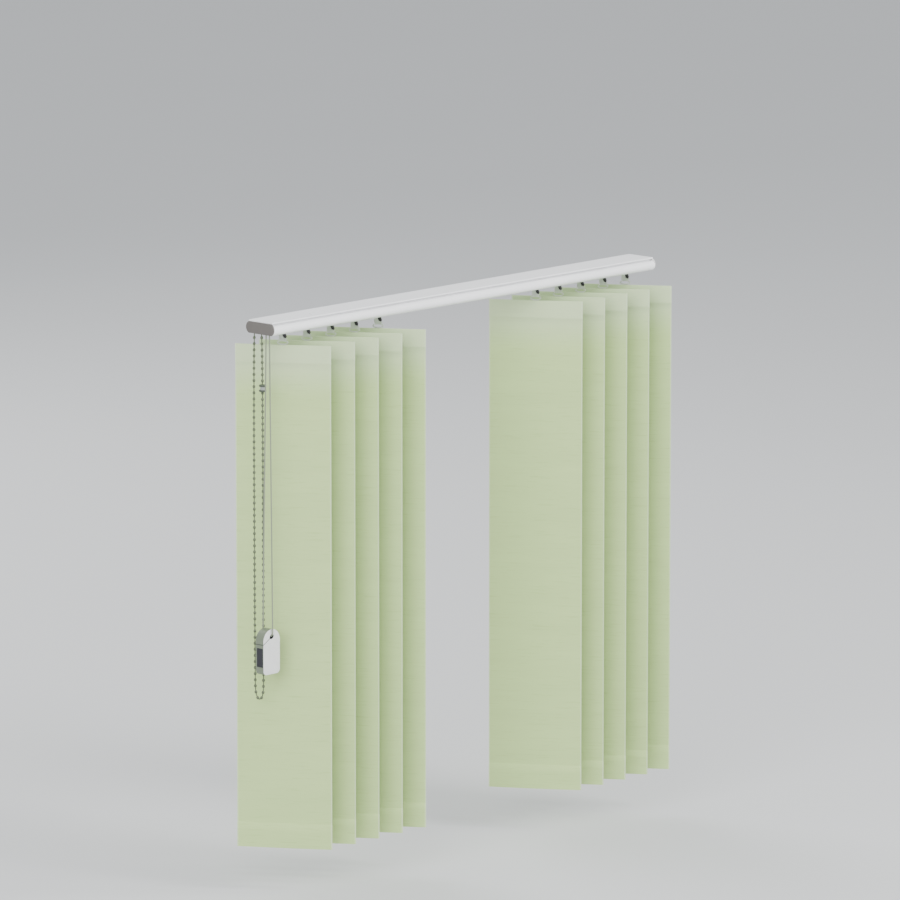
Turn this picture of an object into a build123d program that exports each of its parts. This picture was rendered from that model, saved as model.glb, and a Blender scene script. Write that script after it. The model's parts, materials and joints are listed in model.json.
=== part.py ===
from build123d import *
import math
import os

# Vertical blind: ten fabric vanes on a slim head rail, drawn to both sides, with a bead chain and a draw cord.
# Millimetres. X runs along the rail, Y towards the wall or window, Z up. The origin is the centre of the rail's
# top face. The blind is drawn open: five vanes are stacked at each end, and all of them stand at the same slant.

# ---------------------------------------------------------------- driving dimensions
# Head rail
rail_length = 744.0          # over both end covers
end_cover = 1.5              # thickness of each end cover
plate_half = 21.3            # top plate, half its depth
plate_thick = 1.7
neck_half = 16.6             # groove under the plate, where brackets grip
neck_height = 3.0
body_corner_half = 20.4      # half-depth at the body's top and bottom corners
body_bulge_half = 25.3       # half-depth at the middle of the rounded front and back
rail_height = 17.2
rail_wall = 1.5
end_lip = 0.8                # what is left of the rail's underside at its ends, at front and back
cover_round = 0.9            # edge of the end covers
slot_half = 6.0              # the slot that the stems hang through

# Vanes
vane_count = 10
vane_width = 127.0
vane_length = 670.0
vane_slant = 57.4            # angle between a vane and the rail at rest
vane_drop = 19.0             # rail's underside to the vane's top edge
fabric_thick = 0.6
top_hem = 24.0
top_hem_thick = 2.2
bottom_hem = 32.0
bottom_hem_thick = 2.6
hem_wall = 0.6
hem_seam = 3.0               # sewn edge round the weight
pocket_width = 44.0          # pocket for the hanger's tongue
pocket_depth = 20.0
weight_thick = 1.2

# Carriers
stack_pitch = 45.0
left_park = 43.0             # rail's left end to the first carrier
right_park = 33.6            # rail's right end to the last carrier
carrier_gap = 0.6            # between stacked carriers
carrier_half_depth = 17.6
carrier_top = -4.0
carrier_step = 8.0           # each carrier's low part, at both its ends
carrier_round = 1.5
strip_width = 5.0            # spacer strips that pull the next carrier along
strip_thick = 0.4
strip_level = -3.3
strip_row = -11.5            # y of the first row of strips
strip_row_step = 6.0         # from one row of strips to the next
strip_root = 8.0             # how far a strip starts behind its own stem
strip_foot = 2.5
strip_catch = 4.0            # how far a strip reaches past the next carrier's stem, drawn out

# Stems
gear_half_height = 3.2
stem_radius = 2.7
stem_top = -5.0
hook_gap = 1.0               # rail's underside to the hook
hook_outline = [(-1.6, 0), (2.4, 0), (5.2, -7.2), (4.2, -9.0), (1.4, -8.0)]
hook_thick = 3.6

# Hangers
hanger_thick = 2.6
ring_width = 14.7
ring_height = 6.2
ring_wall = 1.3
ring_gap = 0.2               # the vane's top edge to the ring
hanger_neck = 8.0
tongue_width = 40.0
tongue_depth = 17.0
tongue_drop = 2.0            # the vane's top edge to the tongue

# Tilt drive
rod_flats = 5.0              # hexagonal tilt rod, across its flats
chain_plane = 7.0            # rail's left end to the hanging chain
chain_near = 1.7             # y of the chain's two runs
chain_far = 18.0
drive_depth = 9.4            # rail's top face down to the rod's axis
wheel_pitch_radius = 4.0
bead_diameter = 4.0
worm_radius = 5.2
worm_length = 12.0
worm_flank = 0.15            # gap between the worm and the stem's gear
worm_chamfer = 0.8
flange_thick = 1.0
journal_radius = 2.2
sleeve_radius = 4.4
rod_start = 2.5              # wheel's flange to the rod's end in its socket
rod_journal = 8.0

# Draw cord
cord_diameter = 1.8
cord_plane = 3.0             # rail's left end to the hanging cord
cord_near = -8.7             # y of the cord's two runs where they leave the rail
cord_far = -14.8
guide_radius = 4.4           # bend from the rail down to the hanging runs
pulley_flange = 0.9
pin_radius = 1.0

# Hanging controls
chain_drop = 485.0           # rail's underside to the bottom of the chain's loop
connector_drop = 67.0        # rail's underside to the chain connector
connector_height = 9.3
connector_radius = 4.9
connector_waist = 3.3
connector_collar = 2.7
connector_round = 0.7
weight_drop = 387.5          # rail's underside to the top of the cord weight
weight_width = 31.0
weight_depth = 14.0
weight_height = 60.0
eye_drop = 10.0              # top of the cord weight to the middle of its eye
eye_width = 6.5
eye_height = 4.6
eye_tilt = 25.0
weight_foot = 6.0            # round of the shell's two lower corners
weight_edge = 1.8            # round of the shell's front and back edges
slug_drop = 23.0             # top of the cord weight to the slug
slug_lift = 9.0              # bottom of the cord weight to the slug
slug_wall = 2.2
slug_recess = 0.8

# Fits
loose = 0.3                  # between pieces that move past each other
snug = 0.1                   # between pieces that are pushed together
running = 0.06               # radial, shaft in bearing

# ---------------------------------------------------------------- places worked out from them
left_end = -rail_length / 2
right_end = rail_length / 2
rail_left = left_end + end_cover
rail_right = right_end - end_cover
body_top = -(plate_thick + neck_height)
body_bottom = -rail_height
floor_top = body_bottom + rail_wall
floor_half = body_corner_half - end_lip
body_middle = (body_top + body_bottom) / 2
vane_top = body_bottom - vane_drop
drive_y = (chain_near + chain_far) / 2
drive_z = -drive_depth
gear_radius = drive_y - worm_radius - worm_flank
cord_y = (cord_near + cord_far) / 2
pulley_radius = (cord_near - cord_far) / 2
cord_radius = cord_diameter / 2
bead_radius = bead_diameter / 2
chain_x = left_end + chain_plane
cord_x = left_end + cord_plane

per_side = vane_count // 2
first_carrier = left_end + left_park
last_carrier = right_end - right_park
drawn_pitch = (last_carrier - first_carrier) / (vane_count - 1)
carrier_x = [first_carrier + i * stack_pitch for i in range(per_side)]
carrier_x += [last_carrier - i * stack_pitch for i in reversed(range(per_side))]

housing_right = first_carrier - stack_pitch / 2 - carrier_gap
return_left = last_carrier + stack_pitch / 2 + carrier_gap

strip_rows = math.ceil((strip_root + drawn_pitch + strip_catch) / stack_pitch)
hook_top = body_bottom - hook_gap
ring_middle = vane_top + ring_height / 2 + ring_gap
rod_left = chain_x + bead_radius + flange_thick + rod_start
rod_right = return_left + rod_journal
pulley_x = rail_right - pulley_radius - cord_radius - 2 * loose
pulley_height = cord_diameter + 2 * loose + 2 * pulley_flange
pulley_flange_radius = pulley_radius + cord_radius


def save(shape, node):
    """Write one sub-part."""
    export_step(shape, f"parts/{node}.step")


def block(x, y, z):
    """A box between low and high values on each axis."""
    size = [high - low for low, high in (x, y, z)]
    middle = [(low + high) / 2 for low, high in (x, y, z)]
    return Pos(*middle) * Box(*size)


def along_x(radius, x, y, z):
    """A round bar along X."""
    return Pos((x[0] + x[1]) / 2, y, z) * Rot(0, 90, 0) * Cylinder(radius, x[1] - x[0])


def upright(radius, x, y, z):
    """A round bar along Z."""
    return Pos(x, y, (z[0] + z[1]) / 2) * Cylinder(radius, z[1] - z[0])


def hexagon_bar(flats, x, y, z):
    """A hexagonal bar along X, with two flats level."""
    profile = RegularPolygon(flats / 2, 6, major_radius=False, rotation=30)
    return Pos(x[0], y, z) * extrude(Plane.YZ * profile, x[1] - x[0])


def extruded_outline(points, arcs, x):
    """A symmetric outline in Y and Z, extruded along X.

    points goes down the +Y side. arcs maps a point's index to the middle of an arc that leads on to the next.
    """
    edges = []
    for sign in (1, -1):
        side = [(sign * y, z) for y, z in points]
        for i, (a, b) in enumerate(zip(side, side[1:])):
            if i in arcs:
                edges.append(ThreePointArc(a, (sign * arcs[i][0], arcs[i][1]), b))
            else:
                edges.append(Line(a, b))
    for y, z in (points[0], points[-1]):
        if y > 0:
            edges.append(Line((y, z), (-y, z)))
    face = make_face(Curve() + edges)
    return Pos(x[0], 0, 0) * extrude(Plane.YZ * face, x[1] - x[0])


# ---------------------------------------------------------------- head rail and its ends
def cavity(x, gap):
    """The rail's hollow, made smaller all round by a gap."""
    corner = body_corner_half - rail_wall - gap
    low = floor_top + gap
    high = body_top - rail_wall - gap
    points = [
        (neck_half - rail_wall - gap, -plate_thick - gap),
        (neck_half - rail_wall - gap, high),
        (corner, high),
        (corner, low),
    ]
    return extruded_outline(points, {2: (body_bulge_half - rail_wall - gap, body_middle)}, x)


def head_rail():
    outline = [
        (plate_half, 0),
        (plate_half, -plate_thick),
        (neck_half, -plate_thick),
        (neck_half, body_top),
        (body_corner_half, body_top),
        (body_corner_half, body_bottom),
    ]
    x = (rail_left, rail_right)
    rail = extruded_outline(outline, {4: (body_bulge_half, body_middle)}, x)
    rail -= cavity(x, 0)
    rail -= block(x, (-slot_half, slot_half), (body_bottom, floor_top))
    for ends in ((rail_left, housing_right), (return_left, rail_right)):
        rail -= block(ends, (-floor_half, floor_half), (body_bottom, floor_top))
    return rail


def cover_outline(x):
    """The end covers' outline: the rail's body, carried up to the plate."""
    points = [
        (body_corner_half, -plate_thick),
        (body_corner_half, body_bottom),
    ]
    return extruded_outline(points, {0: (body_bulge_half, (body_bottom - plate_thick) / 2)}, x)


def plug(x):
    """What fills the rail at one end, flush with its underside."""
    half = floor_half - snug
    joint = body_corner_half - rail_wall - snug
    foot = block(x, (-half, half), (body_bottom, floor_top))
    return cavity(x, snug) + block(x, (-joint, joint), (floor_top, floor_top + snug)) + foot


def control_housing():
    """Left end: chain wheel's chamber, rod bearing, chain exits and cord guides."""
    x = (rail_left, housing_right)
    housing = plug(x)
    chamber = wheel_pitch_radius + bead_radius + loose
    spool_half = bead_radius + flange_thick + 2 * loose
    wheel = (chain_x - spool_half, chain_x + spool_half)
    housing -= along_x(chamber, wheel, drive_y, drive_z)
    housing -= along_x(sleeve_radius + running, (wheel[1], housing_right), drive_y, drive_z)
    housing -= along_x(journal_radius + running, (rail_left, wheel[0]), drive_y, drive_z)
    exit_half = bead_radius + loose
    for y in (chain_near, chain_far):
        side = math.copysign(wheel_pitch_radius, y - drive_y) + drive_y
        reach = sorted((y, side))
        z = (body_bottom, drive_z)
        housing -= block(
            (chain_x - exit_half, chain_x + exit_half),
            (reach[0] - exit_half, reach[1] + exit_half),
            z,
        )
    for y in (cord_near, cord_far):
        half = cord_radius + loose
        housing -= block((cord_x - half, housing_right), (y - half, y + half), (body_bottom, drive_z + half))
    return housing


def control_cover():
    cover = cover_outline((left_end, rail_left))
    rim = cover.edges().filter_by(Plane.YZ).sort_by(Axis.X)[:4]
    return fillet(rim, cover_round)


def return_end_cap():
    """Right end: cover, rod bearing and the pulley's fork, in one piece."""
    cap = plug((return_left, rail_right)) + cover_outline((rail_right, right_end))
    rim = cap.edges().filter_by(Plane.YZ).filter_by_position(Axis.X, right_end - 0.01, right_end + 0.01)
    cap = fillet(rim, cover_round)
    cap -= along_x(journal_radius + running, (return_left, rod_right), drive_y, drive_z)
    half = pulley_height / 2 + loose
    room = pulley_flange_radius + loose
    fork = block((return_left, pulley_x), (cord_y - room, cord_y + room), (drive_z - half, drive_z + half))
    fork += upright(room, pulley_x, cord_y, (drive_z - half, drive_z + half))
    cap -= fork
    return cap + upright(pin_radius, pulley_x, cord_y, (drive_z - half, drive_z + half))


# ---------------------------------------------------------------- tilt drive and pulley
def tilt_rod():
    """Hexagonal rod, turned round where it runs in the right end's bearing."""
    rod = hexagon_bar(rod_flats, (rod_left, return_left - loose), drive_y, drive_z)
    return rod + along_x(journal_radius, (return_left - loose, rod_right - loose), drive_y, drive_z)


def chain_wheel():
    """Spool that the chain runs over, with a journal one side and the rod's socket on the other."""
    half = bead_radius + loose
    hub = wheel_pitch_radius - bead_radius - loose
    rim = wheel_pitch_radius + bead_radius / 2
    wheel = along_x(hub, (chain_x - half, chain_x + half), drive_y, drive_z)
    for side in (-1, 1):
        inner = chain_x + side * half
        flange = sorted((inner, inner + side * flange_thick))
        wheel += along_x(rim, flange, drive_y, drive_z)
    outer = half + flange_thick
    wheel += along_x(journal_radius, (rail_left + loose, chain_x - outer), drive_y, drive_z)
    wheel += along_x(sleeve_radius, (chain_x + outer, housing_right - loose), drive_y, drive_z)
    socket = (rod_left - loose, housing_right)
    return wheel - hexagon_bar(rod_flats + 2 * snug, socket, drive_y, drive_z)


def worm(x):
    """Worm that rides on the rod inside a carrier. Its thread is left smooth."""
    turned = along_x(worm_radius, (x - worm_length / 2, x + worm_length / 2), drive_y, drive_z)
    turned = chamfer(turned.edges().filter_by(GeomType.CIRCLE), worm_chamfer)
    bore = (x - worm_length / 2, x + worm_length / 2)
    return turned - hexagon_bar(rod_flats + 2 * loose, bore, drive_y, drive_z)


def return_pulley():
    half = pulley_height / 2
    groove = pulley_radius - cord_radius - loose
    wheel = upright(groove, pulley_x, cord_y, (drive_z - half, drive_z + half))
    for side in (-1, 1):
        z = sorted((drive_z + side * half, drive_z + side * (half - pulley_flange)))
        wheel += upright(pulley_flange_radius, pulley_x, cord_y, z)
    return wheel - upright(pin_radius + running, pulley_x, cord_y, (drive_z - half, drive_z + half))


# ---------------------------------------------------------------- carriers and stems
def carrier(x, towards, row, leads):
    """A carrier centred on its stem. towards is the side that its spacer strip points to, or 0 for none."""
    half = (stack_pitch - carrier_gap) / 2
    ends = (x - half, x + half)
    low = floor_top + loose
    shoulder = body_top - rail_wall - loose
    neck = neck_half - rail_wall - loose
    body = block(ends, (-carrier_half_depth, carrier_half_depth), (low, shoulder))
    body += block((x - half + carrier_step, x + half - carrier_step), (-neck, neck), (low, carrier_top))
    body = fillet(body.edges().filter_by(Axis.Z), carrier_round)
    pocket = (x - worm_length / 2 - loose, x + worm_length / 2 + loose)
    body -= along_x(worm_radius + loose, pocket, drive_y, drive_z)
    body -= along_x(rod_flats / math.sqrt(3) + loose, ends, drive_y, drive_z)
    gear_room = (drive_z - gear_half_height - loose, carrier_top)
    body -= upright(gear_radius + loose, x, 0, gear_room)
    body -= upright(stem_radius + running, x, 0, (low, gear_room[0]))
    cord_room = cord_radius + (running if leads else loose)
    for y in (cord_near, cord_far):
        body -= block(ends, (y - cord_room, y + cord_room), (drive_z - cord_room, carrier_top))
    solids = [body]
    if towards:
        start = x - towards * strip_root
        end = x + towards * (drawn_pitch + strip_catch)
        span = sorted((start, end))
        strip = block(span, (row - strip_width / 2, row + strip_width / 2),
                      (strip_level, strip_level + strip_thick))
        foot = sorted((start, start + towards * strip_foot))
        post = block(foot, (row - strip_width / 2, row + strip_width / 2), (carrier_top, strip_level))
        solids = [body + post, strip]
    return solids


def stem(x):
    """Black stem: gear, neck and the slanted hook that the hanger clips on, turned with its vane."""
    gear = upright(gear_radius, 0, 0, (drive_z - gear_half_height, drive_z + gear_half_height))
    shaft = upright(stem_radius, 0, 0, (hook_top, drive_z))
    pin = upright(stem_radius / 2, 0, 0, (drive_z, stem_top))
    outline = Polyline(*[(across, hook_top + drop) for across, drop in hook_outline], close=True)
    blade = extrude(Plane.XZ * make_face(outline), hook_thick / 2, both=True)
    return Pos(x, 0, 0) * Rot(0, 0, -vane_slant) * (gear + shaft + pin + blade)


def hanger(x):
    """Clear hanger: claw over the stem's hook, oval eye, and a tongue in the vane's top pocket."""
    eye_top = ring_middle + ring_height / 2
    outline = Polyline(
        (-4.0, hook_top - 0.6),
        (-2.05, hook_top - 0.6),
        (1.1, hook_top - 8.2),
        (3.9, hook_top - 9.4),
        (5.6, hook_top - 9.0),
        (5.8, eye_top + 1.2),
        (3.0, eye_top - ring_wall / 2),
        (-3.0, eye_top - ring_wall / 2),
        (-5.2, eye_top + 1.8),
        close=True,
    )
    claw = extrude(Plane.XZ * make_face(outline), hanger_thick / 2, both=True)
    outer = Ellipse(ring_width / 2, ring_height / 2)
    inner = Ellipse(ring_width / 2 - ring_wall, ring_height / 2 - ring_wall)
    ring = Pos(0, 0, ring_middle) * extrude(Plane.XZ * (outer - inner), hanger_thick / 2, both=True)
    tongue_half = (top_hem_thick / 2 - hem_wall) - snug
    tongue_top = vane_top - tongue_drop
    tongue = block((-tongue_width / 2, tongue_width / 2), (-tongue_half, tongue_half),
                   (tongue_top - tongue_depth, tongue_top))
    neck = block((-hanger_neck / 2, hanger_neck / 2), (-tongue_half, tongue_half),
                 (tongue_top - tongue_drop, ring_middle - ring_height / 2 + ring_wall / 2))
    return Pos(x, 0, 0) * Rot(0, 0, -vane_slant) * (claw + ring + neck + tongue)


def vane(x):
    """Fabric vane with a pocket at the top and a sealed weight in its bottom hem."""
    half = vane_width / 2
    bottom = vane_top - vane_length
    sheet = block((-half, half), (-fabric_thick / 2, fabric_thick / 2), (bottom, vane_top))
    sheet += block((-half, half), (-top_hem_thick / 2, top_hem_thick / 2), (vane_top - top_hem, vane_top))
    hem_half = bottom_hem_thick / 2
    sheet += block((-half, half), (-hem_half, hem_half), (bottom, bottom + bottom_hem))
    pocket_half = pocket_width / 2
    pocket = top_hem_thick / 2 - hem_wall
    sheet -= block((-pocket_half, pocket_half), (-pocket, pocket), (vane_top - pocket_depth, vane_top))
    sealed = (bottom_hem_thick - weight_thick) / 2 - hem_wall
    plate_half_width = half - hem_seam
    room = (bottom + hem_wall, bottom + bottom_hem - hem_seam)
    plate = block((-plate_half_width, plate_half_width), (-weight_thick / 2, weight_thick / 2), room)
    cell = block(
        (-plate_half_width - snug, plate_half_width + snug),
        (-weight_thick / 2 - sealed, weight_thick / 2 + sealed),
        (room[0] - snug, room[1] + snug),
    )
    place = Pos(x, 0, 0) * Rot(0, 0, -vane_slant)
    return Compound(children=[place * (sheet - cell), place * plate])


# ---------------------------------------------------------------- cords, chain and what hangs on them
def tube(points, radii, diameter, name):
    """A round tube along straight runs joined by arcs."""
    route = FilletPolyline(*points, radius=radii)
    section = Plane(origin=route @ 0, z_dir=route % 0) * Circle(diameter / 2)
    swept = sweep(section, path=route)
    expected = math.pi * diameter ** 2 / 4 * route.length
    print(f"{name}: length {route.length:.1f}, volume over expected {swept.volume / expected:.4f}, "
          f"radii {[round(r, 1) for r in radii]}")
    return swept


def free_radii(points, tight):
    """Each corner's radius: 0.45 of its shorter run over the tangent of half its turn, or the size in tight."""
    radii = []
    for i in range(1, len(points) - 1):
        a, b, c = (Vector(*p) for p in points[i - 1:i + 2])
        turn = math.radians((b - a).get_angle(c - b))
        radii.append(tight.get(i, 0.45 * min((b - a).length, (c - b).length) / math.tan(turn / 2)))
    return radii


def rail_cord():
    """The draw cord inside the rail: down at the left end, round the pulley at the right end."""
    x = cord_x
    far = pulley_x + pulley_radius
    points = [
        (x, cord_near, body_bottom),
        (x, cord_near, drive_z),
        (far, cord_near, drive_z),
        (far, cord_far, drive_z),
        (x, cord_far, drive_z),
        (x, cord_far, body_bottom),
    ]
    turn = pulley_radius - 0.01
    return tube(points, [guide_radius, turn, turn, guide_radius], cord_diameter, "rail_cord")


weight_y = (cord_near + cord_far) / 2 + 2.1
eye_z = body_bottom - weight_drop - eye_drop
strand_out = weight_depth / 2 + cord_radius + 0.6
draw_cord_points = [
    (cord_x, cord_near, body_bottom),
    (cord_x, cord_near, body_bottom - 10),
    (cord_x, weight_y + strand_out + 0.4, eye_z + 12),
    (cord_x, weight_y + strand_out, eye_z + 0.4),
    (cord_x, weight_y, eye_z - 0.5),
    (cord_x, weight_y - strand_out, eye_z + 0.4),
    (cord_x, weight_y - strand_out - 0.4, eye_z + 12),
    (cord_x, cord_far, body_bottom - 10),
    (cord_x, cord_far, body_bottom),
]


def draw_cord():
    """The hanging loop, pulled straight by the weight that it runs through."""
    radii = free_radii(draw_cord_points, {3: 2.6, 5: 2.6})
    return tube(draw_cord_points, radii, cord_diameter, "draw_cord")


wheel_near = drive_y - wheel_pitch_radius
wheel_far = drive_y + wheel_pitch_radius
wheel_over = drive_z + wheel_pitch_radius
loop_foot = body_bottom - chain_drop
chain_points = [
    (chain_x, drive_y - snug, wheel_over),
    (chain_x, wheel_near, wheel_over),
    (chain_x, wheel_near, drive_z - 2.5),
    (chain_x, chain_near, body_bottom - 1.5),
    (chain_x, chain_near + 0.4, loop_foot + 27),
    (chain_x, chain_near + 1.2, loop_foot + 9),
    (chain_x, chain_near + 4.4, loop_foot + 1.2),
    (chain_x, drive_y + 0.4, loop_foot - 0.5),
    (chain_x, chain_far - 4.2, loop_foot + 1.6),
    (chain_x, chain_far - 1.0, loop_foot + 9.5),
    (chain_x, chain_far - 0.3, loop_foot + 29),
    (chain_x, chain_far, body_bottom - 1.5),
    (chain_x, wheel_far, drive_z - 2.5),
    (chain_x, wheel_far, wheel_over),
    (chain_x, drive_y + snug, wheel_over),
]


def tilt_chain():
    """The bead chain's envelope, from the top of its wheel, down, round the loop's foot and back."""
    last = len(chain_points) - 2
    over = wheel_pitch_radius - 2 * snug
    bend = 9.0
    radii = free_radii(chain_points, {1: over, 2: bend, last - 1: bend, last: over})
    return tube(chain_points, radii, bead_diameter, "tilt_chain")


def chain_connector():
    """Two collars on a waist, over the chain's front run."""
    top = body_bottom - connector_drop
    y = chain_near
    joiner = upright(connector_waist, chain_x, y, (top - connector_height, top))
    for high in (top, top - connector_height + connector_collar):
        ring = upright(connector_radius, chain_x, y, (high - connector_collar, high))
        joiner += fillet(ring.edges().filter_by(GeomType.CIRCLE), connector_round)
    return joiner - upright(bead_radius + snug, chain_x, y, (top - connector_height, top))


def cord_weight():
    """White shell with an arched top and a cross eye, round a dark slug that shows at its narrow sides."""
    top = body_bottom - weight_drop
    half = weight_width / 2
    bottom = top - weight_height
    spring = top - half
    straight = Pos(0, (spring + bottom) / 2) * Rectangle(weight_width, spring - bottom)
    straight = fillet(straight.vertices().group_by(Axis.Y)[0], weight_foot)
    outline = straight + Pos(0, spring) * Circle(half)
    place = Pos(cord_x, weight_y, 0)
    shell = place * extrude(Plane.XZ * outline, weight_depth / 2, both=True)
    shell = fillet(shell.faces().filter_by(Axis.Y).edges(), weight_edge)
    eye = Pos(0, 0, eye_z) * Rot(0, -eye_tilt, 0) * Pos(0, 0, -eye_z)
    oval = Plane.XZ * Pos(0, eye_z) * Ellipse(eye_width / 2, eye_height / 2)
    shell -= place * eye * extrude(oval, weight_depth, both=True)
    slug_top = top - slug_drop
    slug_bottom = bottom + slug_lift
    room = (weight_y - weight_depth / 2 + slug_wall, weight_y + weight_depth / 2 - slug_wall)
    shell -= block((cord_x - half - 1, cord_x + half + 1), room, (slug_bottom, slug_top))
    slug = block(
        (cord_x - half + slug_recess, cord_x + half - slug_recess),
        (room[0] + snug, room[1] - snug),
        (slug_bottom + snug, slug_top - snug),
    )
    return Compound(children=[shell, slug])


# ---------------------------------------------------------------- all sub-parts
def main():
    os.makedirs("parts", exist_ok=True)
    save(head_rail(), "head_rail")
    save(control_housing(), "control_housing")
    save(control_cover(), "control_cover")
    save(return_end_cap(), "return_end_cap")
    save(tilt_rod(), "tilt_rod")
    save(chain_wheel(), "chain_wheel")
    save(return_pulley(), "return_pulley")
    save(rail_cord(), "rail_cord")
    save(draw_cord(), "draw_cord")
    save(tilt_chain(), "tilt_chain")
    save(chain_connector(), "chain_connector")
    save(cord_weight(), "cord_weight")
    fixed_carriers = []
    fixed_worms = []
    for i, x in enumerate(carrier_x):
        number = f"{i + 1:02d}"
        side = 1 if i < per_side else -1
        leads = i in (per_side - 1, per_side)
        row = strip_row + (i % strip_rows) * strip_row_step
        pieces = carrier(x, 0 if leads else side, row, leads)
        if i in (0, vane_count - 1):
            fixed_carriers += pieces
            fixed_worms.append(worm(x))
        else:
            save(Compound(children=pieces), f"carrier_{number}")
            save(worm(x), f"worm_{number}")
        save(stem(x), f"stem_{number}")
        save(hanger(x), f"hanger_{number}")
        save(vane(x), f"vane_{number}")
    save(Compound(children=fixed_carriers), "end_carriers")
    save(Compound(children=fixed_worms), "end_worms")


if __name__ == "__main__":
    main()
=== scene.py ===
"""Looks of a ten-vane vertical blind: woven vanes, bead chain, draw cord with its weight, and the rail's finishes.

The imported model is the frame, so every piece sits where the frame has it, in metres, with Z up.
"""
import json
import math
import random

import bmesh
import bpy
from mathutils import Matrix, Vector


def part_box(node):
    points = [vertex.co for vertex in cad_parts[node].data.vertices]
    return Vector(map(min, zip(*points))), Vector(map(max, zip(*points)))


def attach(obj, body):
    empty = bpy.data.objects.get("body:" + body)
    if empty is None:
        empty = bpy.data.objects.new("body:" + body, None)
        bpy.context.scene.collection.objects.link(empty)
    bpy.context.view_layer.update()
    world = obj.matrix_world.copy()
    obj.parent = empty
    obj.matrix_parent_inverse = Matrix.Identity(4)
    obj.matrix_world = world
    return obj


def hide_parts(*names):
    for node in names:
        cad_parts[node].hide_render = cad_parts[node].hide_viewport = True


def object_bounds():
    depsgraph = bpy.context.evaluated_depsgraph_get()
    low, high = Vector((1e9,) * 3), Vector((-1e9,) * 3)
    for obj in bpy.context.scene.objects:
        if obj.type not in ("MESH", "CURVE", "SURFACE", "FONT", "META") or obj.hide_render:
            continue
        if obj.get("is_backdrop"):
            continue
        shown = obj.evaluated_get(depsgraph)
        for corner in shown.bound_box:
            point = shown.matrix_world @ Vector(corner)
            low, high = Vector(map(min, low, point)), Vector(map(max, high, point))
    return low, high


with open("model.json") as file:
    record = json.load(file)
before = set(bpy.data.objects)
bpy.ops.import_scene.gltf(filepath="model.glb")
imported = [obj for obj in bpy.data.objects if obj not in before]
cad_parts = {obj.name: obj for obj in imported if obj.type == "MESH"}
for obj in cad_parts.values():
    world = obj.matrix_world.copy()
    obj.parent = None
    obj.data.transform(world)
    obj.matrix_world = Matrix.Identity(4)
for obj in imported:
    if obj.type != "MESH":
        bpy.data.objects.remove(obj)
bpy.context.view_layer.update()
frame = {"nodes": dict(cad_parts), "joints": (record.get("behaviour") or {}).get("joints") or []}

bl_info = {
    "name": "Vertical blind",
    "version": (1, 0, 0),
    "blender": (4, 5, 0),
    "location": "View3D > Sidebar > Blind",
    "description": "Builds the vanes, cords and finishes of a vertical blind round its packed model",
    "category": "Object",
}

MM = 0.001
VANES = [f"{number:02d}" for number in range(1, 11)]
TILT_X = {joint["child"][-2:]: joint["pos_m"][0] for joint in frame["joints"]
          if joint["child"].startswith("louvre_")}
VANE_LOW, VANE_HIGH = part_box("vane_01")
LEFT_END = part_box("control_cover")[0].x

# The hanging cord's and chain's routes, as the frame's solids have them: y and z, in millimetres.
CORD_X = LEFT_END + 3.0 * MM
CHAIN_X = LEFT_END + 7.0 * MM
WEIGHT_LOW, WEIGHT_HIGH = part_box("cord_weight")
WEIGHT_MIDDLE = (WEIGHT_LOW + WEIGHT_HIGH) / 2
DRAW_CORD_ROUTE = [
    (-8.7, -17.2),
    (-8.7, -27.2),
    (-0.75, -402.7),
    (-1.15, -414.3),
    (-9.65, -415.2),
    (-18.15, -414.3),
    (-18.55, -402.7),
    (-14.8, -27.2),
    (-14.8, -17.2),
]
CHAIN_ROUTE = [
    (9.75, -5.4),
    (5.85, -5.4),
    (5.85, -11.9),
    (1.7, -18.7),
    (2.1, -475.2),
    (2.9, -493.2),
    (6.1, -501.0),
    (10.25, -502.7),
    (13.8, -500.6),
    (17.0, -492.7),
    (17.7, -473.2),
    (18.0, -18.7),
    (13.85, -11.9),
    (13.85, -5.4),
    (9.95, -5.4),
]


def colour(text):
    """Linear colour with alpha 1 from an sRGB hex value."""
    channels = [int(text[i:i + 2], 16) / 255 for i in (1, 3, 5)]
    return tuple(c / 12.92 if c <= 0.04045 else ((c + 0.055) / 1.055) ** 2.4 for c in channels) + (1.0,)


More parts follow.
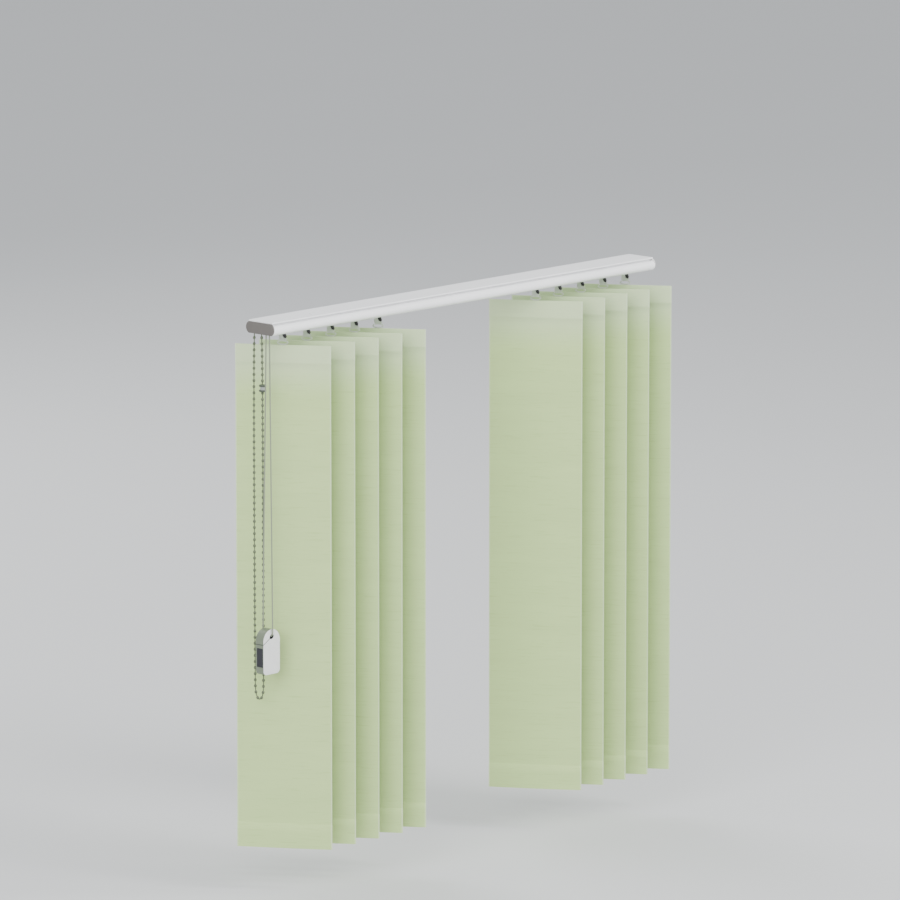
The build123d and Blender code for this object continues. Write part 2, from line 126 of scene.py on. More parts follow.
# ---------------------------------------------------------------- sizes and colours a user would change
class BlindSizes(bpy.types.PropertyGroup):
    """Sizes of the soft pieces."""
    vane_width: bpy.props.FloatProperty(
        name="Vane width", description="Width of a vane's cloth", default=0.127, unit="LENGTH")
    vane_slant: bpy.props.FloatProperty(
        name="Vane slant", description="Angle between a vane and the rail at rest",
        default=math.radians(57.4), subtype="ANGLE")
    cloth_thickness: bpy.props.FloatProperty(
        name="Cloth thickness", description="Thickness of one layer of cloth", default=0.0006, unit="LENGTH")
    top_hem: bpy.props.FloatProperty(
        name="Top hem", description="Height of the pocket that holds the hanger", default=0.024, unit="LENGTH")
    top_hem_thickness: bpy.props.FloatProperty(
        name="Top hem thickness", description="Thickness over the pocket", default=0.0022, unit="LENGTH")
    bottom_hem: bpy.props.FloatProperty(
        name="Bottom hem", description="Height of the hem that holds the weight", default=0.032, unit="LENGTH")
    bottom_hem_thickness: bpy.props.FloatProperty(
        name="Bottom hem thickness", description="Thickness over the weight", default=0.0026, unit="LENGTH")
    vane_curl: bpy.props.FloatProperty(
        name="Vane curl", description="Angle that the cloth bows through across its width",
        default=math.radians(5.0), subtype="ANGLE")
    cord_diameter: bpy.props.FloatProperty(
        name="Cord diameter", description="Diameter of the draw cord", default=0.0018, unit="LENGTH")
    bead_diameter: bpy.props.FloatProperty(
        name="Bead diameter", description="Diameter of the chain's beads", default=0.0040, unit="LENGTH")
    bead_length: bpy.props.FloatProperty(
        name="Bead length", description="Length of a bead along the chain", default=0.0048, unit="LENGTH")
    bead_pitch: bpy.props.FloatProperty(
        name="Bead pitch", description="Distance from bead to bead", default=0.0081, unit="LENGTH")
    string_diameter: bpy.props.FloatProperty(
        name="String diameter", description="Diameter of the string that the beads are moulded on",
        default=0.0015, unit="LENGTH")


def swatch(name, description, text):
    """A colour property whose default is an sRGB hex value."""
    return bpy.props.FloatVectorProperty(
        name=name, description=description, subtype="COLOR", size=4, min=0.0, max=1.0, default=colour(text))


class BlindColours(bpy.types.PropertyGroup):
    """Colours of the visible finishes."""
    rail: swatch("Rail", "Powder coat of the head rail", "#F6F6F7")
    # The cover's grey is painted shade: the control end faces away from the light
    cover: swatch("End cover", "Moulded cover at the control end", "#65615D")
    cloth: swatch("Cloth", "Ground colour of the vanes", "#BFD793")
    slub: swatch("Slub", "Thicker yarns that lie across the vanes", "#A9C47E")
    pale_top: swatch("Top of the cloth", "Paler cloth towards the top hem", "#CFDDBE")
    bead: swatch("Bead", "Beads of the chain", "#576149")
    cord: swatch("Cord", "Braided draw cord", "#858E79")
    weight: swatch("Weight", "Front and back of the cord weight's shell", "#DCDDDC")
    # A darker grey-green painted as shade on the weight's sides; the seam groove on the front takes it too
    weight_side_shade_and_seam: swatch("Weight rim", "Rim of the cord weight's shell", "#6F7966")
    # The slug's colour also lines the weight's eye, as painted shade inside the hole
    slug: swatch("Slug", "Dark body inside the cord weight", "#25262C")
    stem: swatch("Stem", "Moulded stems", "#17181A")
    hanger: swatch("Hanger", "Clear hangers", "#D3DBCD")


# ---------------------------------------------------------------- material nodes
def add(tree, kind, settings=(), links=()):
    """Adds one node with its settings, by attribute, input or ramp stops, and its links, by input."""
    node = tree.nodes.new(kind)
    for key, value in dict(settings).items():
        if key == "stops":
            elements = node.color_ramp.elements
            while len(elements) < len(value):
                elements.new(1.0)
            for element, (position, tint) in zip(elements, value):
                element.position = position
                element.color = tint
        elif isinstance(key, str) and hasattr(node, key) and key not in node.inputs:
            setattr(node, key, value)
        else:
            node.inputs[key].default_value = value
    for key, socket in dict(links).items():
        tree.links.new(socket, node.inputs[key])
    return node


def blank(name):
    """A new material and its empty node tree."""
    material = bpy.data.materials.new(name)
    material.use_nodes = True
    material.node_tree.nodes.clear()
    return material, material.node_tree


def shade(value, factor):
    """A colour made darker or lighter."""
    return tuple(min(1.0, c * factor) for c in value[:3]) + (1.0,)


# Waves to the metre of each pattern, from its real size.
FLOW_MARKS = 60.0            # marks of the flowing plastic, about 17 mm apart
GLOSS_PATCHES = 140.0        # shinier and duller patches of about 7 mm
MOULD_GRAIN = 3500.0         # spark-eroded grain of about 0.3 mm
POWDER_CLOUDS = 9.0          # uneven cover over about 110 mm
POWDER_GLOSS = 55.0          # patches of about 18 mm
ORANGE_PEEL = 900.0          # dimples of about 1.1 mm
DIE_LINES = (6.0, 900.0, 900.0)     # lines about 1.1 mm apart that run along the rod
CLOUDY_SPOTS = 220.0         # spots of about 4.5 mm
POLISHED_RIPPLES = 1200.0    # ripples of about 0.8 mm
CONNECTOR_GRAIN = 1500.0     # grain of about 0.7 mm
FLOOR_CLOUDS = 0.6           # unevenness over about 1.7 m
BRAID_WAVES = 0.9            # waves of the braid in one diameter of cord
WARP_YARNS = (1100.0, 30.0)  # fine upright yarns, drawn at twice their real spacing so that they show
SLUBS = (26.0, 420.0)        # thick yarns, about 40 mm long, lie across the vane every 2 to 3 mm
SOFT_BANDS = (7.0, 55.0)     # bands of paler and darker cloth, about 18 mm high
NOISE_ROUGH = 0.55
SELVEDGE = (0.0011, 0.0017)  # the sealed edge of the cloth fades out between these, in metres
PALE_TOP = (0.075, 0.012)    # the pale top of the cloth runs between these, in metres below its edge

# Sockets of a Mix node that mixes colours.
MIX_FACTOR, MIX_A, MIX_B, MIX_RESULT = 0, 6, 7, 2


def three_patterns(name, shader, tint, gloss, relief):
    """A finish whose tint, gloss and relief each vary: waves to the metre and detail, then what they drive."""
    material, tree = blank(name)
    point = add(tree, "ShaderNodeTexCoord").outputs["Object"]
    tint_wave, gloss_wave, relief_wave = [
        add(tree, "ShaderNodeTexNoise", {"Scale": waves, "Detail": detail, "Roughness": NOISE_ROUGH},
            {"Vector": point}).outputs["Fac"]
        for waves, detail, *_ in (tint, gloss, relief)]
    colours = add(tree, "ShaderNodeValToRGB", {"stops": tint[2:]}, {"Fac": tint_wave})
    rough = add(tree, "ShaderNodeMapRange", {"To Min": gloss[2], "To Max": gloss[3]}, {"Value": gloss_wave})
    dents = add(tree, "ShaderNodeBump", {"Strength": relief[2], "Distance": relief[3]}, {"Height": relief_wave})
    surface = add(tree, "ShaderNodeBsdfPrincipled", shader, {
        "Base Color": colours.outputs["Color"], "Roughness": rough.outputs["Result"],
        "Normal": dents.outputs["Normal"]})
    add(tree, "ShaderNodeOutputMaterial", links={"Surface": surface.outputs["BSDF"]})
    return material


def moulded(name, ground, roughness):
    """Injection-moulded plastic: an even colour with faint flow marks and a fine spark-eroded grain."""
    return three_patterns(
        name, {"IOR": 1.5},
        tint=(FLOW_MARKS, 2.0, (0.3, shade(ground, 0.95)), (0.7, shade(ground, 1.03))),
        gloss=(GLOSS_PATCHES, 3.0, roughness - 0.05, roughness + 0.07),
        relief=(MOULD_GRAIN, 2.0, 0.35, 0.00004))


def powder_coat(ground):
    """Powder-coated aluminium: white, glossy, with the faint orange peel of the fused powder."""
    return three_patterns(
        "powder_coated_aluminium", {"IOR": 1.5, "Coat Weight": 0.25, "Coat Roughness": 0.12},
        tint=(POWDER_CLOUDS, 2.0, (0.3, shade(ground, 0.975)), (0.7, shade(ground, 1.01))),
        gloss=(POWDER_GLOSS, 3.0, 0.24, 0.36),
        relief=(ORANGE_PEEL, 1.0, 0.12, 0.00003))


def clear_plastic(ground):
    """Moulded polycarbonate: see-through, frosty, with a faint grey-green cast and cloudy spots inside."""
    return three_patterns(
        "clear_polycarbonate", {"IOR": 1.58, "Transmission Weight": 0.42},
        tint=(CLOUDY_SPOTS, 2.0, (0.25, shade(ground, 0.86)), (0.75, shade(ground, 1.08))),
        gloss=(CLOUDY_SPOTS, 2.0, 0.26, 0.4),
        relief=(POLISHED_RIPPLES, 1.0, 0.15, 0.00003))


def extruded_aluminium():
    """Mill-finish aluminium: bright, with fine lines drawn along the rod by the die."""
    material, tree = blank("extruded_aluminium")
    point = add(tree, "ShaderNodeTexCoord").outputs["Object"]
    along = add(tree, "ShaderNodeMapping", {"Scale": DIE_LINES}, {"Vector": point})
    streak = add(tree, "ShaderNodeTexNoise", {"Scale": 1.0, "Detail": 3.0, "Roughness": NOISE_ROUGH},
                 {"Vector": along.outputs["Vector"]}).outputs["Fac"]
    colours = add(tree, "ShaderNodeValToRGB", {"stops": [(0.3, colour("#A9ABAD")), (0.7, colour("#C9CBCC"))]},
                  {"Fac": streak})
    rough = add(tree, "ShaderNodeMapRange", {"To Min": 0.28, "To Max": 0.42}, {"Value": streak})
    surface = add(tree, "ShaderNodeBsdfPrincipled", {"Metallic": 1.0}, {
        "Base Color": colours.outputs["Color"], "Roughness": rough.outputs["Result"]})
    add(tree, "ShaderNodeOutputMaterial", links={"Surface": surface.outputs["BSDF"]})
    return material


def slub_cloth(colours, width, high):
    """Woven polyester with slubs: pale green, matt, with thick soft yarns across and fine yarns up the vane."""
    material, tree = blank("slub_weave_polyester")
    place = add(tree, "ShaderNodeTexCoord").outputs
    warp, slub, band = [
        add(tree, "ShaderNodeTexNoise", {"Scale": 1.0, "Detail": detail, "Roughness": rough}, {
            "Vector": add(tree, "ShaderNodeMapping", {"Scale": (*waves, 1.0)},
                          {"Vector": place["UV"]}).outputs["Vector"]}).outputs["Fac"]
        for waves, detail, rough in ((WARP_YARNS, 2.0, 0.5), (SLUBS, 3.0, 0.6), (SOFT_BANDS, 3.0, 0.5))]
    tint = add(tree, "ShaderNodeValToRGB", {
        "stops": [(0.25, shade(colours.cloth, 0.965)), (0.75, shade(colours.cloth, 1.03))]}, {"Fac": band})
    yarn = add(tree, "ShaderNodeValToRGB", {"stops": [(0.56, (0, 0, 0, 1)), (0.74, (1, 1, 1, 1))]}, {"Fac": slub})
    yarn_share = add(tree, "ShaderNodeMath", {"operation": "MULTIPLY", 1: 0.55}, {0: yarn.outputs["Color"]})
    height = add(tree, "ShaderNodeSeparateXYZ", links={"Vector": place["Object"]})
    pale_top_share = add(tree, "ShaderNodeMapRange", {
        "From Min": high - PALE_TOP[0], "From Max": high - PALE_TOP[1], "To Min": 0.0, "To Max": 0.6,
        "interpolation_type": "SMOOTHSTEP"}, {"Value": height.outputs["Z"]})
    side = add(tree, "ShaderNodeSeparateXYZ", links={"Vector": place["UV"]})
    inwards = add(tree, "ShaderNodeMath", {"operation": "PINGPONG", 1: width / 2}, {0: side.outputs["X"]})
    edge_share = add(tree, "ShaderNodeMapRange", {
        "From Min": SELVEDGE[0], "From Max": SELVEDGE[1], "To Min": 0.55, "To Max": 0.0},
        {"Value": inwards.outputs["Value"]})
    mixed = tint.outputs["Color"]
    for share, other in ((yarn_share.outputs["Value"], colours.slub),
                         (pale_top_share.outputs["Result"], colours.pale_top),
                         (edge_share.outputs["Result"], shade(colours.pale_top, 1.06))):
        mixed = add(tree, "ShaderNodeMix", {"data_type": "RGBA", MIX_B: other},
                    {MIX_FACTOR: share, MIX_A: mixed}).outputs[MIX_RESULT]
    weave = add(tree, "ShaderNodeMath", {"operation": "MULTIPLY_ADD", 1: 0.45}, {0: warp, 2: slub})
    relief = add(tree, "ShaderNodeBump", {"Strength": 0.45, "Distance": 0.00012},
                 {"Height": weave.outputs["Value"]})
    surface = add(tree, "ShaderNodeBsdfPrincipled", {
        "Roughness": 0.86, "IOR": 1.45, "Sheen Weight": 0.18, "Sheen Roughness": 0.45, "Specular IOR Level": 0.25},
        {"Base Color": mixed, "Normal": relief.outputs["Normal"]})
    add(tree, "ShaderNodeOutputMaterial", links={"Surface": surface.outputs["BSDF"]})
    return material


def braided_cord(ground, diameter):
    """Braided polyester cord: soft, light grey, with strands crossing round it."""
    material, tree = blank("braided_polyester_cord")
    point = add(tree, "ShaderNodeTexCoord").outputs["Object"]
    twist = add(tree, "ShaderNodeTexWave", {
        "Scale": BRAID_WAVES / diameter, "Distortion": 1.5, "Detail": 1.0, "bands_direction": "Z"},
        {"Vector": point}).outputs["Fac"]
    colours = add(tree, "ShaderNodeValToRGB", {"stops": [(0.1, shade(ground, 0.78)), (0.8, shade(ground, 1.08))]},
                  {"Fac": twist})
    relief = add(tree, "ShaderNodeBump", {"Strength": 0.4, "Distance": 0.0001}, {"Height": twist})
    surface = add(tree, "ShaderNodeBsdfPrincipled", {"Roughness": 0.8, "Sheen Weight": 0.2, "IOR": 1.45},
                  {"Base Color": colours.outputs["Color"], "Normal": relief.outputs["Normal"]})
    add(tree, "ShaderNodeOutputMaterial", links={"Surface": surface.outputs["BSDF"]})
    return material


def banded_connector(low, high, dark, pale):
    """Moulded plastic joiner: dark collars round a paler waist."""
    material, tree = blank("moulded_connector")
    point = add(tree, "ShaderNodeTexCoord").outputs["Object"]
    height = add(tree, "ShaderNodeSeparateXYZ", links={"Vector": point})
    share = add(tree, "ShaderNodeMapRange", {"From Min": low, "From Max": high}, {"Value": height.outputs["Z"]})
    bands = [(0.0, dark), (0.27, dark), (0.31, pale), (0.69, pale), (0.73, dark), (1.0, dark)]
    colours = add(tree, "ShaderNodeValToRGB", {"stops": bands}, {"Fac": share.outputs["Result"]})
    grain = add(tree, "ShaderNodeTexNoise", {"Scale": CONNECTOR_GRAIN, "Detail": 3.0, "Roughness": NOISE_ROUGH},
                {"Vector": point})
    relief = add(tree, "ShaderNodeBump", {"Strength": 0.2, "Distance": 0.00003}, {"Height": grain.outputs["Fac"]})
    surface = add(tree, "ShaderNodeBsdfPrincipled", {"Roughness": 0.35, "IOR": 1.5},
                  {"Base Color": colours.outputs["Color"], "Normal": relief.outputs["Normal"]})
    add(tree, "ShaderNodeOutputMaterial", links={"Surface": surface.outputs["BSDF"]})
    return material


def floor_paper():
    """Matt grey-white paper: very even, so that it takes soft shadows."""
    material, tree = blank("floor_paper")
    point = add(tree, "ShaderNodeTexCoord").outputs["Object"]
    cloud = add(tree, "ShaderNodeTexNoise", {"Scale": FLOOR_CLOUDS, "Detail": 3.0, "Roughness": NOISE_ROUGH},
                {"Vector": point})
    colours = add(tree, "ShaderNodeValToRGB", {"stops": [(0.3, colour("#CCCDCE")), (0.7, colour("#CACBCC"))]},
                  {"Fac": cloud.outputs["Fac"]})
    surface = add(tree, "ShaderNodeBsdfPrincipled", {"Roughness": 0.9}, {"Base Color": colours.outputs["Color"]})
    add(tree, "ShaderNodeOutputMaterial", links={"Surface": surface.outputs["BSDF"]})
    return material


# ---------------------------------------------------------------- modelling helpers
def deselect():
    """Nothing selected, object mode."""
    if bpy.context.object and bpy.context.object.mode != "OBJECT":
        bpy.ops.object.mode_set(mode="OBJECT")
    bpy.ops.object.select_all(action="DESELECT")


def only(obj):
    """This object alone is selected and active."""
    deselect()
    obj.select_set(True)
    bpy.context.view_layer.objects.active = obj


def settle(obj):
    """Puts the object's place into its mesh."""
    only(obj)
    bpy.ops.object.transform_apply(location=True, rotation=True, scale=True)


def apply_modifier(obj, kind, **settings):
    """Adds a modifier, sets it and applies it."""
    only(obj)
    modifier = obj.modifiers.new(kind.lower(), kind)
    for key, value in settings.items():
        setattr(modifier, key, value)
    bpy.ops.object.modifier_apply(modifier=modifier.name)


def faces_where(obj, test):
    """Selects, in edit mode, the faces whose middle and normal pass a test."""
    only(obj)
    bpy.ops.object.mode_set(mode="EDIT")
    bpy.ops.mesh.select_mode(type="FACE")
    bpy.ops.mesh.select_all(action="DESELECT")
    mesh = bmesh.from_edit_mesh(obj.data)
    for face in mesh.faces:
        face.select_set(test(face.calc_center_median(), face.normal))
    bmesh.update_edit_mesh(obj.data)


def smooth(obj, degrees=35.0):
    """Smooth shading, with edges kept where faces turn by more than an angle."""
    only(obj)
    bpy.ops.object.shade_smooth_by_angle(angle=math.radians(degrees))


def paint(obj, *materials):
    """Gives an object these materials, in order."""
    obj.data.materials.clear()
    for material in materials:
        obj.data.materials.append(material)


def repaint(node, material):
    """Gives a carried-over node its finish."""
    paint(frame["nodes"][node], material)


def route_curve(name, points, diameter):
    """One open NURBS spline through the route's control points, bevelled to a round cord."""
    data = bpy.data.curves.new(name, "CURVE")
    data.dimensions = "3D"
    data.resolution_u = 10
    data.bevel_depth = diameter / 2
    data.bevel_resolution = 3
    data.use_fill_caps = True
    spline = data.splines.new("NURBS")
    spline.points.add(len(points) - 1)
    for point, place in zip(spline.points, points):
        point.co = (*place, 1.0)
    spline.order_u = 3
    spline.use_endpoint_u = True
    obj = bpy.data.objects.new(name, data)
    bpy.context.scene.collection.objects.link(obj)
    return obj


def points_along(curve, step):
    """Evenly spaced (point, direction) pairs along a route's own spline."""
    bare = bpy.data.objects.new("bare_route", curve.data.copy())
    bare.data.bevel_depth = 0.0
    line = [v.co.copy() for v in bpy.data.meshes.new_from_object(bare).vertices]
    bpy.data.objects.remove(bare)
    placed, carried = [], step / 2
    for a, b in zip(line, line[1:]):
        length = (b - a).length
        while carried <= length:
            placed.append((a.lerp(b, carried / length), (b - a).normalized()))
            carried += step
        carried -= length
    return placed


# ---------------------------------------------------------------- stage
FLOOR_SIZE = 60.0
FLOOR_DROP = 0.06            # the vanes hang this far above the floor
LIGHT_AIM = Vector((0.0, 0.0, -0.3))
LIGHTS = (                   # name, place, size and power in watts
    ("key", (1.3, -3.2, 2.3), 2.4, 215.0),
    ("side", (-3.6, -1.6, 1.2), 2.6, 130.0),
    ("back", (0.8, 3.4, 1.8), 2.6, 80.0),
)
SKY_COLOUR = colour("#F2F5F8")
SKY_STRENGTH = 1.0
CAMERA_AIM = Vector((-0.01023, 0.0, -0.21754))
CAMERA_TURN = math.radians(47.045)      # from straight in front, towards the control end
CAMERA_RISE = math.radians(10.337)
CAMERA_DISTANCE = 11.172
CAMERA_LENS = 335.9
CAMERA_REACH = 100.0


class BLIND_OT_stage(bpy.types.Operator):
    """Add the floor, the soft lights and the camera"""
    bl_idname = "blind.stage"
    bl_label = "Stage"

    def execute(self, context):
        deselect()
        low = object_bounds()[0]
        bpy.ops.mesh.primitive_plane_add(size=FLOOR_SIZE, location=(0, 0, low.z - FLOOR_DROP))
        floor = context.object
        floor.name = "floor"
        settle(floor)
        paint(floor, floor_paper())
        floor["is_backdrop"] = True
        world = bpy.data.worlds.new("studio")
        world.use_nodes = True
        sky = world.node_tree.nodes["Background"].inputs
        sky["Color"].default_value = SKY_COLOUR
        sky["Strength"].default_value = SKY_STRENGTH
        context.scene.world = world
        for name, place, size, power in LIGHTS:
            lamp = bpy.data.lights.new(name, "AREA")
            lamp.size = size
            lamp.energy = power
            holder = bpy.data.objects.new(name, lamp)
            holder.location = place
            holder.rotation_euler = (LIGHT_AIM - Vector(place)).to_track_quat("-Z", "Y").to_euler()
            context.scene.collection.objects.link(holder)
        camera = bpy.data.objects.new("camera", bpy.data.cameras.new("camera"))
        level = math.cos(CAMERA_RISE)
        back = Vector((-math.sin(CAMERA_TURN) * level, -math.cos(CAMERA_TURN) * level, math.sin(CAMERA_RISE)))
        camera.location = CAMERA_AIM + back * CAMERA_DISTANCE
        camera.rotation_euler = (-back).to_track_quat("-Z", "Y").to_euler()
        camera.data.lens = CAMERA_LENS
        camera.data.clip_end = CAMERA_REACH
        context.scene.collection.objects.link(camera)
        context.scene.camera = camera
        return {"FINISHED"}


# ---------------------------------------------------------------- pieces
class BLIND_OT_finishes(bpy.types.Operator):
    """Give the rail, its ends and the moving parts inside it their finishes"""
    bl_idname = "blind.finishes"
    bl_label = "Finishes"

    def execute(self, context):
        colours = context.scene.blind_colours
        white = moulded("moulded_white_abs", colour("#EEEEEC"), 0.32)
        # The end cover is painted grey as shade on the rail's unlit end
        grey = moulded("moulded_abs_cover_shade", colours.cover, 0.5)
        acetal = moulded("moulded_acetal", colour("#E4E4DE"), 0.4)
        black = moulded("moulded_black_nylon", colours.stem, 0.33)
        clear = clear_plastic(colours.hanger)
        cord = braided_cord(colours.cord, context.scene.blind_sizes.cord_diameter)
        repaint("head_rail", powder_coat(colours.rail))
        repaint("control_housing", white)
        repaint("return_end_cap", white)
        repaint("control_cover", grey)
        repaint("tilt_rod", extruded_aluminium())
        repaint("rail_cord", cord)
        for node in ("chain_wheel", "return_pulley", "end_carriers", "end_worms"):
            repaint(node, acetal)
        for number in VANES:
            repaint(f"stem_{number}", black)
            repaint(f"hanger_{number}", clear)
            for kind in ("carrier", "worm"):
                if f"{kind}_{number}" in frame["nodes"]:
                    repaint(f"{kind}_{number}", acetal)
        low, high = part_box("chain_connector")
        repaint("chain_connector",
                banded_connector(low.z, high.z, colour("#454C42"), colour("#9BA09B")))
        return {"FINISHED"}


CLOTH_GRID = (14, 60)        # faces across and up a vane
HEM_STEP = 1.2 * MM          # the cloth thins from a hem's thickness to its own over this height
BOW_SPREAD = (0.85, 1.15)    # no two vanes bow quite alike
SWAY = 0.6 * MM              # how far a vane's middle strays from its hems
SET_FORWARD = 0.06 * MM      # keeps the hanger's tongue inside the pocket
VANE_SEED = 5


def vane_cloth(sizes):
    """One vane's cloth, flat, with its middle at the origin's X and Y: a grid with thicker hems."""
    height = VANE_HIGH.z - VANE_LOW.z
    middle = (VANE_HIGH.z + VANE_LOW.z) / 2
    deselect()
    bpy.ops.mesh.primitive_grid_add(x_subdivisions=CLOTH_GRID[0], y_subdivisions=CLOTH_GRID[1], size=1.0,
                                    calc_uvs=True)
    cloth = bpy.context.object
    cloth.scale = (sizes.vane_width, height, 1.0)
    cloth.rotation_euler = (math.radians(90), 0, 0)
    cloth.location = (0, 0, middle)
    settle(cloth)
    for loop in cloth.data.uv_layers[0].data:
        loop.uv = (loop.uv[0] * sizes.vane_width, loop.uv[1] * height)
    top_edge = VANE_HIGH.z - sizes.top_hem
    bottom_edge = VANE_LOW.z + sizes.bottom_hem
    only(cloth)
    bpy.ops.object.mode_set(mode="EDIT")
    for level in (top_edge, top_edge - HEM_STEP, bottom_edge, bottom_edge + HEM_STEP):
        bpy.ops.mesh.select_all(action="SELECT")
        bpy.ops.mesh.bisect(plane_co=(0, 0, level), plane_no=(0, 0, 1))
    bpy.ops.object.mode_set(mode="OBJECT")
    thickest = sizes.bottom_hem_thickness
    group = cloth.vertex_groups.new(name="hems")
    for vertex in cloth.data.vertices:
        if vertex.co.z > top_edge - HEM_STEP / 2:
            thick = sizes.top_hem_thickness
        elif vertex.co.z < bottom_edge + HEM_STEP / 2:
            thick = sizes.bottom_hem_thickness
        else:
            thick = sizes.cloth_thickness
        group.add([vertex.index], thick / thickest, "REPLACE")
    apply_modifier(cloth, "SOLIDIFY", thickness=thickest, offset=0.0, vertex_group="hems",
                   use_even_offset=True)
    return cloth


class BLIND_OT_vanes(bpy.types.Operator):
    """Weave the ten vanes and hang them"""
    bl_idname = "blind.vanes"
    bl_label = "Vanes"

    def execute(self, context):
        sizes = context.scene.blind_sizes
        material = slub_cloth(context.scene.blind_colours, sizes.vane_width, VANE_HIGH.z)
        pattern = vane_cloth(sizes)
        chance = random.Random(VANE_SEED)
        span = VANE_HIGH.z - VANE_LOW.z
        for number in VANES:
            vane = bpy.data.objects.new(f"cloth_{number}", pattern.data.copy())
            context.scene.collection.objects.link(vane)
            bow = sizes.vane_curl * chance.uniform(*BOW_SPREAD)
            sway = chance.uniform(-SWAY, SWAY)
            radius = sizes.vane_width / bow
            for vertex in vane.data.vertices:
                across, through, up = vertex.co
                turn = across / radius
                fall = (VANE_HIGH.z - up) / span
                away = radius * (1 - math.cos(turn)) + sway * math.sin(fall * math.pi)
                vertex.co = (radius * math.sin(turn) - through * math.sin(turn),
                             through * math.cos(turn) + away - SET_FORWARD, up)
            for loop in vane.data.uv_layers[0].data:
                loop.uv[0] += int(number) * 2 * sizes.vane_width
            vane.matrix_world = (Matrix.Translation((TILT_X[number], 0, 0))
                                 @ Matrix.Rotation(-sizes.vane_slant, 4, "Z"))
            settle(vane)
            paint(vane, material)
            smooth(vane, 40.0)
            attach(vane, f"louvre_{number}")
            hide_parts(f"vane_{number}")
        bpy.data.objects.remove(pattern)
        return {"FINISHED"}


WEIGHT_CORNER = 6.0 * MM     # the flat foot turns up into the sides with this radius
WEIGHT_EDGE = 1.2 * MM       # round of the shell's front and back edges
ARCH_POINTS = 56             # points round the shell's outline
SLUG_DROP = 23.0 * MM        # top of the weight to the slug
SLUG_LIFT = 9.0 * MM         # foot of the weight to the slug
SLUG_WALL = 1.3 * MM         # the shell's wall beside the slug
SLUG_STEP = 0.1 * MM         # slope of the recess's wall
SLUG_RECESS = 0.8 * MM
EYE_DROP = 10.0 * MM         # top of the weight to the middle of its eye
EYE_WIDTH = 8.0 * MM
EYE_HEIGHT = 5.8 * MM
EYE_TILT = math.radians(25)
BELT_RISE = 3.6 * MM         # slug to the joint that runs round the shell's sides
BELT_GROOVE = (0.9 * MM, 0.8 * MM)              # depth and height
SEAM_GROOVE = (19.0 * MM, 1.6 * MM, 1.0 * MM)   # length, depth and height


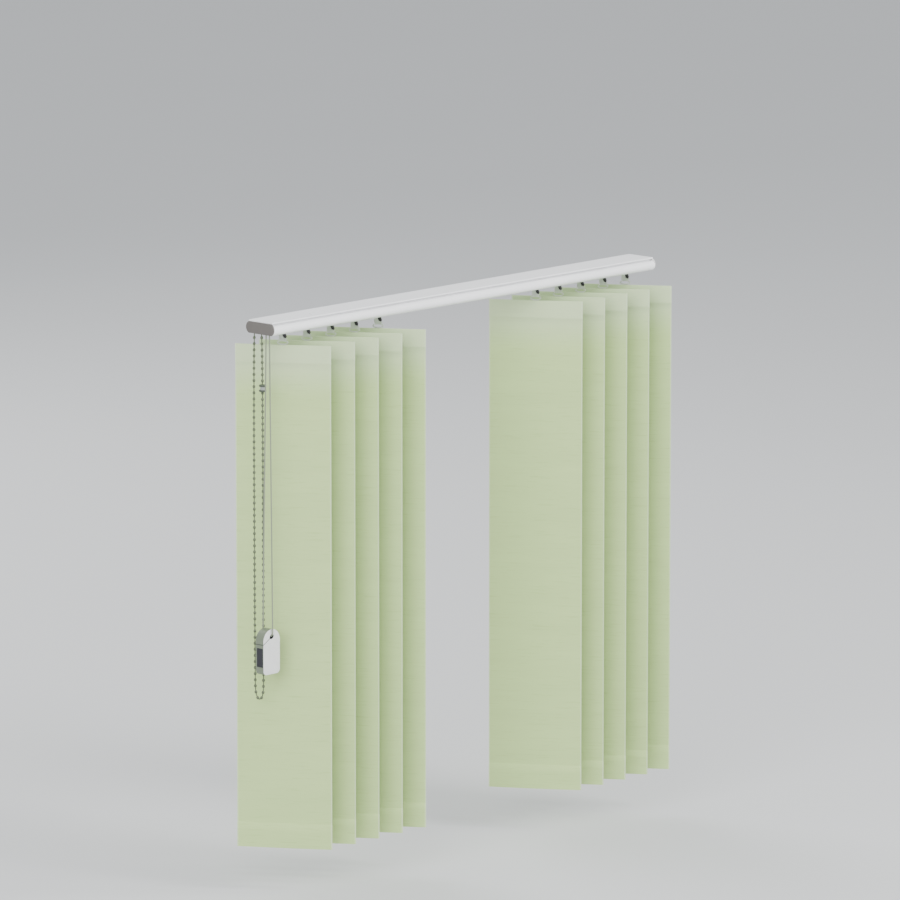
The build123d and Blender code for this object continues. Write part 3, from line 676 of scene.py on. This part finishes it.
class BLIND_OT_cord_weight(bpy.types.Operator):
    """Mould the cord weight: a white arched shell round a dark slug"""
    bl_idname = "blind.cord_weight"
    bl_label = "Cord weight"

    def execute(self, context):
        colours = context.scene.blind_colours
        low, high, middle = WEIGHT_LOW, WEIGHT_HIGH, WEIGHT_MIDDLE
        half = (high.x - low.x) / 2
        deep = (high.y - low.y) / 2
        spring = high.z - half
        deselect()
        bpy.ops.mesh.primitive_circle_add(
            vertices=ARCH_POINTS, radius=half, fill_type="NGON", location=(middle.x, low.y, spring),
            rotation=(math.radians(90), 0, 0))
        shell = context.object
        shell.name = "weight_shell"
        settle(shell)
        for vertex in shell.data.vertices:
            if vertex.co.z < spring - 0.02 * half:
                over = max(0.0, abs(vertex.co.x - middle.x) - half + WEIGHT_CORNER)
                lift = WEIGHT_CORNER - math.sqrt(max(0.0, WEIGHT_CORNER ** 2 - over ** 2))
                vertex.co.z = low.z + lift
        only(shell)
        bpy.ops.object.mode_set(mode="EDIT")
        bpy.ops.mesh.select_all(action="SELECT")
        bpy.ops.mesh.extrude_region_move(TRANSFORM_OT_translate={"value": (0, 2 * deep, 0)})
        bpy.ops.mesh.select_all(action="SELECT")
        bpy.ops.mesh.normals_make_consistent(inside=False)
        slug_top, slug_bottom = high.z - SLUG_DROP, low.z + SLUG_LIFT
        for level in (slug_top, slug_bottom):
            bpy.ops.mesh.select_all(action="SELECT")
            bpy.ops.mesh.bisect(plane_co=(0, 0, level), plane_no=(0, 0, 1))
        bpy.ops.object.mode_set(mode="OBJECT")
        white = moulded("moulded_white_styrene", colours.weight, 0.3)
        # rim: painted shade on the shell's sides, and the colour of the seam groove
        rim = moulded("moulded_styrene_side_shade_and_seam", colours.weight_side_shade_and_seam, 0.35)
        # dark: the slug's own colour, and painted shade on the walls of the eye
        dark = moulded("steel_slug_and_eye_shade", colours.slug, 0.45)
        paint(shell, white, rim, dark)
        # The sides and the arch's top get the rim finish: a darker grey-green painted as shade
        faces_where(shell, lambda place, normal: abs(normal.y) < 0.5)
        shell.active_material_index = 1
        bpy.ops.object.material_slot_assign()
        bpy.ops.object.mode_set(mode="OBJECT")
        faces_where(shell, lambda place, normal: abs(normal.x) > 0.99 and slug_bottom < place.z < slug_top)
        bpy.ops.mesh.inset(thickness=SLUG_WALL, depth=0.0)
        bpy.ops.mesh.inset(thickness=SLUG_STEP, depth=-SLUG_RECESS)
        shell.active_material_index = 2
        bpy.ops.object.material_slot_assign()
        bpy.ops.object.mode_set(mode="OBJECT")
        apply_modifier(shell, "BEVEL", width=WEIGHT_EDGE, segments=4, limit_method="ANGLE",
                       angle_limit=math.radians(60), use_clamp_overlap=True)
        eye = Vector((middle.x, middle.y, high.z - EYE_DROP))
        belt = slug_top + BELT_RISE
        seam_middle = (eye + Vector((low.x, low.y, belt))) / 2
        fall = math.atan2(eye.z - belt, eye.x - low.x)
        deselect()
        bpy.ops.mesh.primitive_cylinder_add(vertices=32, radius=EYE_WIDTH / 2, depth=6 * deep)
        punch = context.object
        settle(punch)
        punch.scale = (1.0, EYE_HEIGHT / EYE_WIDTH, 1.0)
        punch.rotation_euler = (math.radians(90), 0, 0)
        settle(punch)
        punch.rotation_euler = (0, -EYE_TILT, 0)
        punch.location = eye
        # The eye's walls take the slug's dark finish: painted shade inside the hole, which lies above the slug
        cutters = [(punch, dark)]
        belt_size = (BELT_GROOVE[0], 3 * deep, BELT_GROOVE[1])
        for place, size, turn, finish in (
            ((seam_middle.x, low.y, seam_middle.z), SEAM_GROOVE, -fall, rim),
            ((low.x, middle.y, belt), belt_size, 0.0, dark),
            ((high.x, middle.y, belt), belt_size, 0.0, dark),
        ):
            deselect()
            bpy.ops.mesh.primitive_cube_add(size=1.0, location=place, rotation=(0, turn, 0))
            groove = context.object
            groove.scale = size
            cutters.append((groove, finish))
        for cutter, finish in cutters:
            settle(cutter)
            paint(cutter, finish)
            apply_modifier(shell, "BOOLEAN", object=cutter, operation="DIFFERENCE", solver="EXACT",
                           material_mode="TRANSFER")
            bpy.data.objects.remove(cutter)
        smooth(shell, 30.0)
        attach(shell, "root")
        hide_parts("cord_weight")
        return {"FINISHED"}


class BLIND_OT_draw_cord(bpy.types.Operator):
    """Run the draw cord down, through the weight's eye and back up"""
    bl_idname = "blind.draw_cord"
    bl_label = "Draw cord"

    def execute(self, context):
        sizes, colours = context.scene.blind_sizes, context.scene.blind_colours
        points = [(CORD_X, y * MM, z * MM) for y, z in DRAW_CORD_ROUTE]
        cord = route_curve("draw_cord_run", points, sizes.cord_diameter)
        cord.data.materials.append(braided_cord(colours.cord, sizes.cord_diameter))
        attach(cord, "root")
        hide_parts("draw_cord")
        return {"FINISHED"}


class BLIND_OT_bead_chain(bpy.types.Operator):
    """String the beads of the tilt chain"""
    bl_idname = "blind.bead_chain"
    bl_label = "Bead chain"

    def execute(self, context):
        sizes, colours = context.scene.blind_sizes, context.scene.blind_colours
        points = [(CHAIN_X, y * MM, z * MM) for y, z in CHAIN_ROUTE]
        string = route_curve("chain_string", points, sizes.string_diameter)
        string.data.materials.append(braided_cord(shade(colours.bead, 1.3), sizes.string_diameter))
        bead_finish = moulded("moulded_bead_acetal", colours.bead, 0.3)
        deselect()
        bpy.ops.mesh.primitive_uv_sphere_add(segments=12, ring_count=8, radius=sizes.bead_diameter / 2)
        bead = context.object
        bead.scale.z = sizes.bead_length / sizes.bead_diameter
        settle(bead)
        joined = bmesh.new()
        for place, direction in points_along(string, sizes.bead_pitch):
            turn = direction.to_track_quat("Z", "Y").to_matrix().to_4x4()
            placed = bead.data.copy()
            placed.transform(Matrix.Translation(place) @ turn)
            joined.from_mesh(placed)
            bpy.data.meshes.remove(placed)
        joined.to_mesh(bead.data)
        joined.free()
        bead.name = "chain_beads"
        paint(bead, bead_finish)
        smooth(bead, 60.0)
        for piece in (string, bead):
            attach(piece, "root")
        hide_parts("tilt_chain")
        return {"FINISHED"}


class BLIND_PT_panel(bpy.types.Panel):
    """Lists the blind's pieces"""
    bl_idname = "BLIND_PT_panel"
    bl_label = "Vertical blind"
    bl_space_type = "VIEW_3D"
    bl_region_type = "UI"
    bl_category = "Blind"

    def draw(self, context):
        for operator in OPERATORS:
            self.layout.operator(operator.bl_idname)
        for group in (context.scene.blind_sizes, context.scene.blind_colours):
            box = self.layout.box()
            for name in group.__annotations__:
                box.prop(group, name)


OPERATORS = (
    BLIND_OT_stage,
    BLIND_OT_cord_weight,
    BLIND_OT_draw_cord,
    BLIND_OT_bead_chain,
    BLIND_OT_finishes,
    BLIND_OT_vanes,
)
CLASSES = (BlindSizes, BlindColours, *OPERATORS, BLIND_PT_panel)


def register():
    for cls in CLASSES:
        bpy.utils.register_class(cls)
    bpy.types.Scene.blind_sizes = bpy.props.PointerProperty(type=BlindSizes)
    bpy.types.Scene.blind_colours = bpy.props.PointerProperty(type=BlindColours)


def unregister():
    del bpy.types.Scene.blind_colours
    del bpy.types.Scene.blind_sizes
    for cls in reversed(CLASSES):
        bpy.utils.unregister_class(cls)


def main():
    register()
    bpy.ops.blind.stage()
    bpy.ops.blind.cord_weight()
    bpy.ops.blind.draw_cord()
    bpy.ops.blind.bead_chain()
    bpy.ops.blind.finishes()
    bpy.ops.blind.vanes()


if __name__ == "__main__":
    main()
